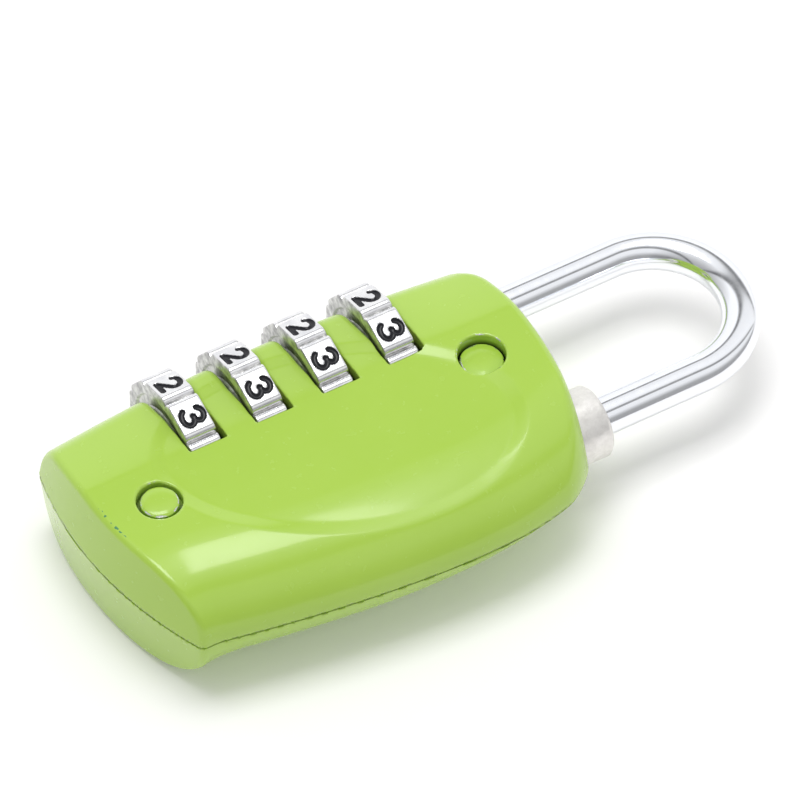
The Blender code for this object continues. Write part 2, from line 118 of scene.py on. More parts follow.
# Case openings, and how round their rims are
SLOT_LEFT = 0.15
SLOT_WIDTH = 4.15
SLOT_END_Y = -4.9
SLOT_RIM = (0.14, 0.66)
POCKET_R = 7.95
TUNNEL_R = 3.8
TUNNEL_X = (-1.7, 28.25)
SPRING_TUNNEL_R = 3.5
SPRING_TUNNEL_X = -6.6
LEG_HOLE_R = ROD_R + 0.12
LEG_HOLE_X = -11.3
GUIDE_BORE_R = 3.1
GUIDE_BORE_X = 27.0
BEYOND_X = 60.0
WALL = 1.3
HOLLOW_X = (-2.6, 27.2)
HOLLOW_Y = -10.2
LEAF_POCKET_Y = (-9.6, -7.0)
LEAF_POCKET_HEIGHT = 2.9
INNER_RIM = 0.2
PARTING_RIM = 0.03

# Rivets and the counterbores that their heads lie in
RIVET_R = 1.4
RIVET_HEAD = 0.9
RIVET_HEAD_R = (1.93, 2.2)
RIVET_HOLE_R = 1.5
MOUTH_R = (2.3, 2.42)
MOUTH_RIM = (0.25, 0.22)
FRONT_MOUTH_DEPTH = 1.2
REAR_MOUTH_DEPTH = 1.4

# The shackle
FIN_START = -3.35
FIN_LENGTH = 1.6
FIN_R = 2.75
FIN_ROOT_R = 1.2
FIN_HALF = 0.65
FIN_CHAMFER = 0.15

# How fine the meshes are
VOXEL = {"front": 0.22, "rear": 0.25}
FIELD_BATCHES = 24
SETTLING_STEPS = 6
RELAXING_STEPS = (1, 2, 3)
PARTING_REACH = 0.17
TURNED_SEGMENTS = 96

# Dials
DIGITS = 10
PAD_R = 7.68
PAD_HALF = 1.5
SHOULDER = 0.7
STROKE = 0.31
ENGRAVED = 0.2
DIGIT_SHIFT = 0.08
WHEEL_BORE_R = 3.7
COUNTERBORE_R = 4.8
COUNTERBORE_X = (1.0, 2.1)
SPLINE_R = 3.95
SPLINE_DEPTH_R = 4.7
SPLINE_HALF_ANGLE = 6.5


def to_metres(points):
    return np.asarray(points, float) * MM + np.array(ORIGIN)


def new_mesh_object(name, points, faces, finish, body, normals=None, sharp=None):
    """A piece from millimetre points, riding on a CAD body."""
    mesh = bpy.data.meshes.new(name)
    mesh.from_pydata(to_metres(points).tolist(), [], [tuple(int(i) for i in face) for face in faces])
    mesh.materials.append(finish)
    mesh.shade_smooth()
    if normals is not None:
        mesh.normals_split_custom_set_from_vertices(normals.tolist())
    elif sharp is not None:
        mesh.set_sharp_from_angle(angle=math.radians(sharp))
    piece = bpy.data.objects.new(name, mesh)
    bpy.context.scene.collection.objects.link(piece)
    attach(piece, body)
    return piece


# Solids as fields: negative inside, about a distance in millimetres near the surface


def cut_round(a, b, radius):
    """What is inside both, with the edge between them rounded."""
    u = np.maximum(a + radius, 0.0)
    v = np.maximum(b + radius, 0.0)
    return np.minimum(-radius, np.maximum(a, b)) + np.sqrt(u * u + v * v)


def smooth_step(low, high, value):
    t = np.clip((value - low) / (high - low), 0.0, 1.0)
    return t * t * (3.0 - 2.0 * t)


def far_edge(x):
    """The far side's outline at the parting plane: bulging in the middle and flared at the bottom end."""
    bulge = CASE_FAR_Y + FAR_BOW[1] * np.abs(x - FAR_BOW[0]) ** FAR_BOW[2]
    flare = FAR_FLARE[1] * np.maximum(0.0, FAR_FLARE[0] - x) ** FAR_FLARE[2]
    return bulge - flare + FAR_CORNER[1] * np.maximum(0.0, x - FAR_CORNER[0]) ** 2


def dial_edge(x):
    return CASE_DIAL_Y - DIAL_BOW * (x - MIDDLE_X) ** 2


def bottom_edge(y):
    return CASE_BOTTOM_X + BOTTOM_BOW[1] * (y - BOTTOM_BOW[0]) ** 2


def top_edge(y):
    return CASE_TOP_X - TOP_BOW[1] * (y - TOP_BOW[0]) ** 2


def dish(x, y):
    """How deep the front face's shallow oval dish is. Its edge is a narrow facet through both rivets."""
    tilt = math.radians(DISH_TILT)
    long, short = DISH_HALF
    across_x, across_y = x - DISH_CENTRE[0], y - DISH_CENTRE[1]
    u = across_x * math.cos(tilt) + across_y * math.sin(tilt)
    v = -across_x * math.sin(tilt) + across_y * math.cos(tilt)
    rim = np.maximum(np.hypot(u / long, v / short), 0.01)
    inside = (1.0 - rim) * rim / np.hypot(u / long**2, v / short**2)
    t = (inside + DISH_EDGE / 2) / DISH_EDGE
    ramp = np.sqrt(t**2 + DISH_SOFTNESS) - np.sqrt((t - 1.0) ** 2 + DISH_SOFTNESS)
    return DISH_DEPTH * (ramp + 1.0) / 2.0


def far_roll_power(x, half):
    """The power of the far side's rounding: 2 is an ellipse, and nearer to 1 it is more of a slope."""
    end = np.clip((-4.0 - x) / 5.0, 0.0, 1.2) ** 1.5
    if half == "front":
        return 2.0 + 0.1 * end
    slope = 2.03 - 0.006 * (x + 1.0) - 0.0012 * np.maximum(0.0, x - 8.0) ** 2
    return np.maximum(slope, 1.4) + 0.5 * end


def case_top(x, y, from_middle, half):
    """The height of a half's flat side. The front has the dish and falls away towards the dials."""
    if half == "rear":
        return np.full_like(x, CASE_BACK)
    toward_dials = np.maximum(0.0, (y - CROWN_START_Y) / 8.0) ** 1.5
    fall = (CROWN_FALL + CROWN_FALL * from_middle) * toward_dials
    return CASE_FRONT * (1.0 - fall) - dish(x, y)


def case_body(x, y, h, half):
    """A solid half of the case. h is the height off the parting plane."""
    from_middle = ((x - MIDDLE_X) / 25.0) ** 2
    top = case_top(x, y, from_middle, half)
    width, power = FAR_ROLL[half], far_roll_power(x, half)
    dial_radius = DIAL_RADIUS[half] + (from_middle if half == "front" else 0.0)
    roll = np.maximum(width - (y - far_edge(x)), 0.0) / width
    rise = np.maximum(h, 0.01) / top
    full = (roll**power + rise**power) ** (1.0 / power)
    steepness = np.sqrt((roll ** (power - 1) / width) ** 2 + (rise ** (power - 1) / top) ** 2)
    crown = (full - 1.0) * full ** (power - 1) / np.maximum(steepness, 1e-3)
    body = cut_round(crown, y - dial_edge(x) + DIAL_DRAFT * h, dial_radius)
    body = cut_round(body, bottom_edge(y) + END_DRAFT[half] * h - x, BOTTOM_RADIUS)
    top_radius = TOP_RADIUS + TOP_RADIUS_FAR * roll**2 + TOP_RADIUS_DIAL * smooth_step(0.0, 4.0, y)
    return cut_round(body, x - top_edge(y) + TOP_DRAFT * h, top_radius)


def outside_range(value, low, high):
    return np.maximum(low - value, value - high)


def dial_slots(x, y, z):
    """The four slots that the dials stand in, each with a round pocket behind it."""
    slots = []
    for i in range(DIALS):
        start = i * PITCH - SLOT_LEFT
        opening = np.minimum(SLOT_END_Y - y, np.sqrt(y * y + z * z) - POCKET_R)
        slots.append(np.maximum(opening, outside_range(x, start, start + SLOT_WIDTH)))
    return np.minimum.reduce(slots)


def tunnels(x, y, z):
    """The round holes along the lock: for the sleeves, the spring, both legs, the guide and the collar."""
    bores = (
        (0.0, TUNNEL_R, *TUNNEL_X),
        (0.0, SPRING_TUNNEL_R, SPRING_TUNNEL_X, 0.0),
        (0.0, LEG_HOLE_R, LEG_HOLE_X, 0.0),
        (0.0, GUIDE_BORE_R, GUIDE_BORE_X, BEYOND_X),
        (SHORT_LEG_Y, COLLAR_R + 0.1, COLLAR_LOW.x - 0.3, BEYOND_X),
    )
    holes = []
    for middle, radius, start, end in bores:
        aside = y - middle
        holes.append(np.maximum(np.sqrt(aside * aside + z * z) - radius, outside_range(x, start, end)))
    return np.minimum.reduce(holes)


def case_field(points, half):
    """One painted shell: its outside, less the slots, the tunnels, the hollow and the rivet holes."""
    x, y, z = points[:, 0], points[:, 1], points[:, 2]
    h = z if half == "front" else -z
    outside = case_body(x, y, h, half)
    lengthwise = outside_range(x, *HOLLOW_X)
    hollow = np.maximum(outside + WALL, np.maximum(y - HOLLOW_Y, lengthwise))
    leaf_pocket = np.maximum(outside_range(y, *LEAF_POCKET_Y), np.maximum(lengthwise, h - LEAF_POCKET_HEIGHT))
    inner = np.minimum(np.minimum(tunnels(x, y, z), hollow), leaf_pocket)
    shell = cut_round(outside, SPLIT - h, PARTING_RIM)
    slot_rim = SLOT_RIM[0] + SLOT_RIM[1] * smooth_step(-3.0, 3.0, y)
    shell = cut_round(shell, -dial_slots(x, y, z), slot_rim)
    shell = cut_round(shell, -inner, INNER_RIM)
    for (rivet_x, rivet_y, _), top, radius, rim in zip(RIVETS, RIVET_TOPS, MOUTH_R, MOUTH_RIM):
        off_axis = np.hypot(x - rivet_x, y - rivet_y)
        mouth = top - FRONT_MOUTH_DEPTH if half == "front" else CASE_BACK - REAR_MOUTH_DEPTH
        hole = np.minimum(off_axis - RIVET_HOLE_R, np.maximum(off_axis - radius, mouth - h))
        shell = cut_round(shell, -hole, rim)
    return shell


def gradient(field, points, step=0.01):
    columns = []
    for axis in range(3):
        shift = np.zeros(3)
        shift[axis] = step
        columns.append((field(points + shift) - field(points - shift)) / (2 * step))
    return np.stack(columns, axis=1)


def unit(vectors):
    return vectors / np.maximum(np.linalg.norm(vectors, axis=1), 1e-9)[:, None]


def towards_surface(values, slope):
    """The move that takes each point to where its field is zero."""
    steep = np.maximum((slope**2).sum(axis=1), 0.25)
    return -(values / steep)[:, None] * slope


def mesh_from_field(field, low, high, voxel):
    """Points, quads and normals of a field's surface: a grid mesh, its points then moved onto the surface."""
    layers_below = math.ceil((SPLIT - low[2]) / voxel) + 1.5
    starts = [low[0] - 2 * voxel, low[1] - 2 * voxel, SPLIT - layers_below * voxel]
    axes = [np.arange(start, top + 3 * voxel, voxel) for start, top in zip(starts, high)]
    grid = np.stack(np.meshgrid(*axes, indexing="ij"), axis=-1).reshape(-1, 3)
    values = np.concatenate([field(part) for part in np.array_split(grid, FIELD_BATCHES)])
    values = np.clip(values, -3 * voxel, 3 * voxel).reshape([len(axis) for axis in axes])
    volume = openvdb.FloatGrid(3 * voxel)
    volume.copyFromArray(values.astype(np.float32))
    points, quads = volume.convertToQuads(0.0)
    points = points.astype(float) * voxel + np.array([axis[0] for axis in axes])
    corners = np.concatenate([quads[:, k] for k in range(4)])
    for step in range(SETTLING_STEPS):
        slope = gradient(field, points)
        if step in RELAXING_STEPS:
            beside = [points[quads[:, (k + 1) % 4]] + points[quads[:, (k + 3) % 4]] for k in range(4)]
            nearby = np.concatenate(beside)
            total = np.stack([np.bincount(corners, nearby[:, k], len(points)) for k in range(3)], axis=1)
            slide = total / (2 * np.bincount(corners, minlength=len(points)))[:, None] - points
            across = unit(slope)
            points = points + 0.5 * (slide - (slide * across).sum(axis=1)[:, None] * across)
        move = towards_surface(field(points), slope)
        length = np.linalg.norm(move, axis=1)[:, None]
        points = points + move * np.minimum(1.0, 0.3 * voxel / np.maximum(length, 1e-9))
    normals = unit(gradient(field, points))
    first = points[quads[0]]
    facing = np.cross(first[1] - first[0], first[2] - first[0]) @ normals[quads[0][0]]
    return points, quads if facing > 0 else quads[:, ::-1], normals


def add_point_values(piece, name, values):
    layer = piece.data.attributes.new(name, "FLOAT", "POINT")
    layer.data.foreach_set("value", np.asarray(values, np.float32))


def sharpen_parting_edge(points, half):
    """Moves the points nearest to the shell's parting edge onto it, so that the seam is an even line."""
    side = 1.0 if half == "front" else -1.0

    def outside(part):
        return case_body(part[:, 0], part[:, 1], side * part[:, 2], half)

    at_split = np.abs(side * points[:, 2] - SPLIT) < PARTING_REACH
    near = at_split & (outside(points) > -PARTING_REACH)
    edge = points[near]
    edge[:, 2] = side * SPLIT
    for _ in range(4):
        slope = gradient(outside, edge)
        slope[:, 2] = 0.0
        edge += towards_surface(outside(edge), slope)
    points[near] = edge


def fade(distance, reach):
    """1 where the distance is zero, falling to 0 at the reach."""
    return np.clip(1.0 - np.abs(distance) / reach, 0.0, 1.0)


def worn_edges(x, y, h, depth):
    """How worn the paint is: up to 1 at the rims of the rivet holes, down to -1 at the end's upper edge."""
    chipped = np.zeros_like(x)
    for (rivet_x, rivet_y, _), radius in zip(RIVETS, MOUTH_R):
        off_axis = np.hypot(x - rivet_x, y - rivet_y)
        chipped = np.maximum(chipped, fade(off_axis - radius - 0.05, 0.3))
    chipped = chipped * np.clip(1.0 - depth / 0.5, 0.0, 1.0)
    stretch = smooth_step(-13.5, -11.5, y) * smooth_step(-6.0, -8.0, y)
    scuffed = fade(x - bottom_edge(y) - END_DRAFT["front"] * h - 0.45, 0.5) * stretch
    return chipped - scuffed * np.clip(h - 4.5, 0.0, 1.0)


def make_shell(half, paint):
    name = f"{half}_shell"
    low, high = cad_mm(name)

    def field(points):
        return case_field(points, half)

    points, quads, normals = mesh_from_field(field, low, high, VOXEL[half])
    sharpen_parting_edge(points, half)
    shell = new_mesh_object(f"{half}_shell_cast", points, quads, paint, "case", normals=normals)
    height = points[:, 2] if half == "front" else -points[:, 2]
    # How deep below the outer skin each point lies. The paint darkens with depth as painted shade deep in the
    # openings, and the wear at the rivet rims fades with it.
    depth = -case_body(points[:, 0], points[:, 1], height, half)
    add_point_values(shell, "depth", depth)
    add_point_values(shell, "edge", worn_edges(points[:, 0], points[:, 1], height, depth))
    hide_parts(name)


# Grids of points joined into closed surfaces


def wrap_faces(rows, columns, close_rows, close_columns):
    """Quads between neighbouring points of a grid that may close on itself either way."""
    faces = []
    for i in range(rows if close_rows else rows - 1):
        for j in range(columns if close_columns else columns - 1):
            i2, j2 = (i + 1) % rows, (j + 1) % columns
            faces.append((i * columns + j, i2 * columns + j, i2 * columns + j2, i * columns + j2))
    return faces


def make_turned(name, profile, centre, axis, body, finish, node):
    """A profile of (along, radius) turned about an axis through centre. A radius of 0 closes an end."""
    rings = [point for point in profile if point[1] > 0]
    closed = len(rings) == len(profile)
    points = []
    for angle in np.linspace(0, 2 * math.pi, TURNED_SEGMENTS, endpoint=False):
        for along, radius in rings:
            a, b = radius * math.cos(angle), radius * math.sin(angle)
            offset = (along, a, b) if axis == "x" else (a, b, along)
            points.append([c + o for c, o in zip(centre, offset)])
    faces = wrap_faces(TURNED_SEGMENTS, len(rings), True, closed)
    if not closed:
        for j, along in ((0, profile[0][0]), (len(rings) - 1, profile[-1][0])):
            offset = (along, 0, 0) if axis == "x" else (0, 0, along)
            points.append([c + o for c, o in zip(centre, offset)])
            hub = len(points) - 1
            for i in range(TURNED_SEGMENTS):
                edge = (i * len(rings) + j, ((i + 1) % TURNED_SEGMENTS) * len(rings) + j)
                faces.append((hub, *edge))
    piece = new_mesh_object(name, points, faces, finish, body)
    outward(piece, 35)
    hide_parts(node)
    return piece


def outward(piece, sharp):
    """Turns a piece's faces outwards and shades it smooth, but for edges sharper than an angle in degrees."""
    bm = bmesh.new()
    bm.from_mesh(piece.data)
    bmesh.ops.recalc_face_normals(bm, faces=bm.faces)
    bm.to_mesh(piece.data)
    bm.free()
    piece.data.shade_smooth()
    piece.data.set_sharp_from_angle(angle=math.radians(sharp))


# The dials


def arc(centre, size, start, end, count=14):
    """Points of an ellipse arc, from a start angle to an end angle in degrees."""
    turns = [math.radians(start + (end - start) * i / count) for i in range(count + 1)]
    return [(centre[0] + size[0] * math.cos(t), centre[1] + size[1] * math.sin(t)) for t in turns]


def digit_strokes(digit):
    """A digit's strokes, each a list of (right, up) points about the middle of its pad."""
    return {
        0: [arc((0, 0), (0.78, 1.12), 0, 360, 28)],
        1: [[(-0.42, 0.66), (0.12, 1.12), (0.12, -1.12)]],
        2: [arc((0, 0.4), (0.8, 0.7), 160, -38) + [(-0.74, -1.1), (0.82, -1.1)]],
        3: [arc((-0.03, 0.58), (0.71, 0.56), 165, -88), arc((0.02, -0.53), (0.84, 0.62), 88, -160)],
        4: [[(0.32, -1.12), (0.32, 1.12), (-0.8, -0.42), (0.82, -0.42)]],
        5: [[(0.7, 1.1), (-0.55, 1.1), (-0.66, 0.06)] + arc((0, -0.38), (0.8, 0.72), 140, -150)],
        6: [arc((0, -0.42), (0.78, 0.7), 0, 360, 24), arc((0.5, -0.42), (1.28, 1.52), 180, 100)],
        7: [[(-0.78, 1.1), (0.8, 1.1), (-0.2, -1.12)]],
        8: [arc((0, 0.57), (0.62, 0.55), 0, 360, 24), arc((0, -0.52), (0.78, 0.6), 0, 360, 24)],
        9: [arc((0, 0.42), (0.78, 0.7), 0, 360, 24), arc((-0.5, 0.42), (1.28, 1.52), 0, -80)],
    }[digit]


def distance_to_strokes(digit, right, up):
    """How far each point of a pad is from the middle line of its digit's strokes."""
    best = np.full(right.shape, 9.0)
    for stroke in digit_strokes(digit):
        for (ax, ay), (bx, by) in zip(stroke, stroke[1:]):
            dx, dy = bx - ax, by - ay
            t = np.clip(((right - ax) * dx + (up - ay) * dy) / (dx * dx + dy * dy), 0, 1)
            best = np.minimum(best, np.hypot(right - ax - t * dx, up - ay - t * dy))
    return best


def tooth_rows():
    """Across one tooth, from trough to trough: (right, out), out being the distance from the dial's axis."""
    shoulder = [(math.sin(t), math.cos(t)) for t in np.radians([12, 24, 36, 48, 60, 72, 82, 90])]
    side = [(PAD_HALF + SHOULDER * a, PAD_R - SHOULDER * (1 - b)) for a, b in shoulder]
    flat = [(right, PAD_R) for right in np.linspace(-PAD_HALF, PAD_HALF, 34)]
    return [(-right, out) for right, out in reversed(side)] + flat + side


def side_round(x, radius=0.22):
    """How far the skin drops at the rounded edges of a dial's two faces."""
    near = np.minimum(x, WHEEL_WIDTH - x)
    return radius - np.sqrt(np.maximum(radius**2 - np.maximum(radius - near, 0.0) ** 2, 0.0))


def skin_columns():
    """Where the grid's columns lie across a dial's skin, closer together at its two rounded edges."""
    rounding = [0.0, 0.03, 0.08, 0.15, 0.23]
    middle = list(np.linspace(0.33, WHEEL_WIDTH - 0.33, 29))
    return np.array(rounding + middle + [WHEEL_WIDTH - r for r in rounding[::-1]])


def bore_profile():
    """From the right face's rim through the bore to the left face's rim, as (x, radius)."""
    return [
        (WHEEL_WIDTH, 6.5),
        (WHEEL_WIDTH - 0.12, 6.3),
        (WHEEL_WIDTH - 0.12, 5.2),
        (WHEEL_WIDTH, 5.0),
        (WHEEL_WIDTH, SPLINE_R),
        (COUNTERBORE_X[1], SPLINE_R),
        (COUNTERBORE_X[1], COUNTERBORE_R),
        (COUNTERBORE_X[0], COUNTERBORE_R),
        (COUNTERBORE_X[0], WHEEL_BORE_R),
        (0.0, WHEEL_BORE_R),
        (0.0, 4.9),
        (0.22, 5.1),
        (0.22, 6.25),
        (0.0, 6.45),
    ]


def make_dial(index, metal):
    """A dial with ten engraved pads. The grid runs round it, and in columns over its skin and its bore."""
    rows = tooth_rows()
    skin = skin_columns()
    inner = bore_profile()
    pitch_angle = 360 / DIGITS
    points, ink, cast_and_shade = [], [], []
    for digit in range(DIGITS):
        turn = math.radians(pitch_angle * digit)
        outward_axis = np.array([0.0, math.cos(turn), math.sin(turn)])
        along_axis = np.array([0.0, -math.sin(turn), math.cos(turn)])
        right, up = np.meshgrid([r for r, _ in rows], skin - WHEEL_WIDTH / 2 - DIGIT_SHIFT, indexing="ij")
        distance = distance_to_strokes(digit, right - DIGIT_SHIFT, up)
        depth = ENGRAVED * np.sqrt(np.clip(1 - (distance / STROKE) ** 2, 0, 1))
        out = np.array([o for _, o in rows])[:, None] - depth - side_round(skin)[None, :]
        for i, (across, height) in enumerate(rows):
            for j, x in enumerate(skin):
                points.append(out[i, j] * outward_axis + across * along_axis + np.array([x, 0, 0]))
                ink.append(STROKE - distance[i, j])
                # The value kept here rises into the troughs between pads and towards both faces' rims. It
                # makes the metal rougher there, and also darkens its colour as painted shade.
                face = 1.0 - min(x, WHEEL_WIDTH - x) / 0.2
                cast_and_shade.append(max(PAD_R - height, 0.8 * face))
            angle = math.atan2(across, height)
            from_spline = abs((math.degrees(angle) + pitch_angle / 2) % pitch_angle - pitch_angle / 2)
            for x, radius in inner:
                in_spline = from_spline < SPLINE_HALF_ANGLE and x >= COUNTERBORE_X[1] and radius == SPLINE_R
                r = SPLINE_DEPTH_R if in_spline else radius
                a = angle + turn
                points.append(np.array([x, r * math.cos(a), r * math.sin(a)]))
                ink.append(-1.0)
                cast_and_shade.append(1.0)
    faces = wrap_faces(DIGITS * len(rows), len(skin) + len(inner), True, True)
    points = np.array(points) + np.array([index * PITCH, 0, 0])
    dial = new_mesh_object(f"dial_{index + 1}_engraved", points, faces, metal, f"dial_{index + 1}")
    outward(dial, 38)
    add_point_values(dial, "ink", ink)
    add_point_values(dial, "cast_and_shade", cast_and_shade)
    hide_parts(f"dial_wheel_{index + 1}")


# The shackle


def fin(index, first):
    """One chamfered fin of the long leg: its points, and its faces numbered from first."""
    start = index * PITCH + FIN_START
    upper = [
        (-FIN_R, FIN_HALF - FIN_CHAMFER),
        (-FIN_R + FIN_CHAMFER, FIN_HALF),
        (-FIN_ROOT_R, FIN_HALF),
    ]
    outline = [(y, -z) for y, z in reversed(upper)] + upper
    count = len(outline)
    points = [np.array([x, y, z]) for x in (start, start + FIN_LENGTH) for y, z in outline]
    faces = [
        tuple(range(first, first + count)),
        tuple(range(first + 2 * count - 1, first + count - 1, -1)),
    ]
    for k in range(count):
        after = (k + 1) % count
        faces.append((first + k, first + after, first + count + after, first + count + k))
    return points, faces


def make_shackle(chrome):
    """A swept rod with rounded ends, and the four fins that pass the code sleeves' keyways."""
    low, high = cad_mm("shackle")
    bend = -SHORT_LEG_Y / 2
    crown_x = high.x - bend - ROD_R
    short_end = COLLAR_LOW.x + 0.3
    sides, bends, tip = 48, 96, 0.35
    route = [(x, 0.0, -1.0, 0.0) for x in np.linspace(low.x, crown_x, 30)]
    for i in range(1, bends):
        angle = math.pi * i / bends
        at = (crown_x + bend * math.sin(angle), -bend + bend * math.cos(angle))
        route.append((*at, -math.cos(angle), math.sin(angle)))
    route += [(x, -2 * bend, 1.0, 0.0) for x in np.linspace(crown_x, short_end, 14)]
    rounding = [(0.0, ROD_R - tip), (0.4 * tip, ROD_R - 0.25 * tip), (tip, ROD_R)]
    rings = [((route[0][0] + at, *route[0][1:]), radius) for at, radius in rounding]
    rings += [(step, ROD_R) for step in route[1:-1]]
    rings += [((route[-1][0] + at, *route[-1][1:]), radius) for at, radius in reversed(rounding)]
    points = []
    for (x, y, tx, ty), radius in rings:
        side = np.array([-ty, tx, 0.0])
        up = np.array([0, 0, 1.0])
        for k in range(sides):
            angle = 2 * math.pi * k / sides
            points.append(np.array([x, y, 0]) + radius * (math.cos(angle) * side + math.sin(angle) * up))
    faces = wrap_faces(len(rings), sides, False, True)
    for start in (0, (len(rings) - 1) * sides):
        faces.append(tuple(range(start, start + sides)))
    for i in range(DIALS):
        fin_points, fin_faces = fin(i, len(points))
        points += fin_points
        faces += fin_faces
    rod = new_mesh_object("shackle_rod", points, faces, chrome, "shackle")
    outward(rod, 35)
    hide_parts("shackle")


# The rivets and the collar


def rivet_profile(top, bottom, head):
    """From the middle of the front head down the outside to the middle of the rear head, as (z, radius)."""
    return [
        (top - 0.02, 0.0),
        (top - 0.02, 0.6),
        (top - 0.04, 1.2),
        (top - 0.09, 1.55),
        (top - 0.18, head - 0.1),
        (top - 0.3, head),
        (top - RIVET_HEAD, head),
        (top - RIVET_HEAD, RIVET_R),
        (bottom + 0.55, RIVET_R),
        (bottom + 0.55, head),
        (bottom + 0.2, head),
        (bottom + 0.05, head - 0.2),
        (bottom, head - 0.45),
        (bottom, 0.0),
    ]


def make_rivets(paint):
    """Both rivets, with the paint worn on the edges of their front heads."""
    for node, (x, y, _), top, head in zip(("lower_rivet", "upper_rivet"), RIVETS, RIVET_TOPS, RIVET_HEAD_R):
        profile = rivet_profile(top, cad_mm(node)[0].z, head)
        rivet = make_turned(f"{node}_head", profile, (x, y, 0), "z", "case", paint, node)
        on_edge = [radius > head - 0.15 and along > top - 0.4 for along, radius in profile if radius > 0]
        worn = [0.85 if edge else 0.0 for edge in on_edge]
        add_point_values(rivet, "edge", worn * TURNED_SEGMENTS + [0.0, 0.0])


def collar_profile():
    """From the bore's mouth over the chamfered end and back along the outside, as (x, radius)."""
    bore = ROD_R + 0.1
    start, end, chamfer = COLLAR_LOW.x, COLLAR_HIGH.x, 0.45
    return [
        (end - 0.2, bore),
        (end, bore + 0.2),
        (end, COLLAR_R - chamfer - 0.05),
        (end - 0.04, COLLAR_R - chamfer + 0.06),
        (end - chamfer + 0.06, COLLAR_R - 0.04),
        (end - chamfer - 0.05, COLLAR_R),
        (start, COLLAR_R),
        (start, bore),
    ]


def make_collar(nickel):
    name, node = "socket_bush_turned", "shackle_socket_bush"
    make_turned(name, collar_profile(), (0, SHORT_LEG_Y, 0), "x", "case", nickel, node)


# Materials


class Nodes:
    """A material's node tree, with short ways to add and join nodes."""

    def __init__(self, name):
        self.material = bpy.data.materials.new(name)
        self.material.use_nodes = True
        self.tree = self.material.node_tree
        self.shader = self.tree.nodes["Principled BSDF"]
        self.place = self.add("ShaderNodeTexCoord").outputs["Object"]

    def add(self, kind, inputs=None, **settings):
        node = self.tree.nodes.new(kind)
        for key, value in settings.items():
            setattr(node, key, value)
        for key, value in (inputs or {}).items():
            if isinstance(value, bpy.types.NodeSocket):
                self.tree.links.new(value, node.inputs[key])
            else:
                node.inputs[key].default_value = value
        return node

    def set(self, **values):
        for key, value in values.items():
            socket = self.shader.inputs[key.replace("_", " ")]
            if isinstance(value, bpy.types.NodeSocket):
                self.tree.links.new(value, socket)
            else:
                socket.default_value = value

    def noise(self, scale, detail=3.0, roughness=0.55, where=None):
        made = self.add(
            "ShaderNodeTexNoise",
            {"Vector": where or self.place, "Scale": scale, "Detail": detail, "Roughness": roughness},
        )
        return made.outputs["Fac"]

    def ramp(self, value, low, high, to_low=0.0, to_high=1.0):
        made = self.add(
            "ShaderNodeMapRange",
            {"Value": value, "From Min": low, "From Max": high, "To Min": to_low, "To Max": to_high},
        )
        return made.outputs["Result"]

    def mix(self, share, first, second):
        made = self.add("ShaderNodeMix", {"Factor": share}, data_type="RGBA")
        for index, value in ((6, first), (7, second)):
            if isinstance(value, bpy.types.NodeSocket):
                self.tree.links.new(value, made.inputs[index])
            else:
                made.inputs[index].default_value = (*value, 1.0)
        return made.outputs[2]

    def product(self, first, second):
        made = self.add("ShaderNodeMath", {0: first, 1: second}, operation="MULTIPLY")
        return made.outputs["Value"]

    def bump(self, height, strength, distance):
        made = self.add("ShaderNodeBump", {"Height": height, "Strength": strength, "Distance": distance})
        self.tree.links.new(made.outputs["Normal"], self.shader.inputs["Normal"])


def green_paint():
    nodes = Nodes("green_paint")
    patches = nodes.noise(60, 2)
    depth = nodes.add("ShaderNodeAttribute", attribute_name="depth").outputs["Fac"]
    # Painted shade: from 0.7 mm below the outer skin, deep in the slots, tunnels and hollows, the paint
    # colour darkens to a near-black green.
    inside = nodes.ramp(depth, 0.7, 1.6)
    edge = nodes.add("ShaderNodeAttribute", attribute_name="edge").outputs["Fac"]
    chipped = nodes.ramp(nodes.product(edge, nodes.noise(1100, 3)), 0.4, 0.43)
    scuffed = nodes.ramp(nodes.product(edge, nodes.noise(2200, 3)), -0.44, -0.47)
    green = nodes.mix(nodes.ramp(patches, 0.35, 0.65), (0.376, 0.585, 0.064), (0.392, 0.60, 0.072))
    painted = nodes.mix(inside, nodes.mix(scuffed, green, (0.06, 0.25, 0.1)), (0.02, 0.05, 0.006))
    nodes.set(Base_Color=nodes.mix(chipped, painted, (0.8, 0.8, 0.82)), Metallic=chipped)
    nodes.set(Roughness=nodes.ramp(nodes.noise(900, 4), 0.3, 0.7, 0.2, 0.28))
    nodes.set(Coat_Weight=nodes.ramp(inside, 0, 1, 0.5, 0.0), Coat_Roughness=0.08, IOR=1.45)
    nodes.bump(nodes.noise(300, 2), 0.012, 0.0002)
    return nodes.material


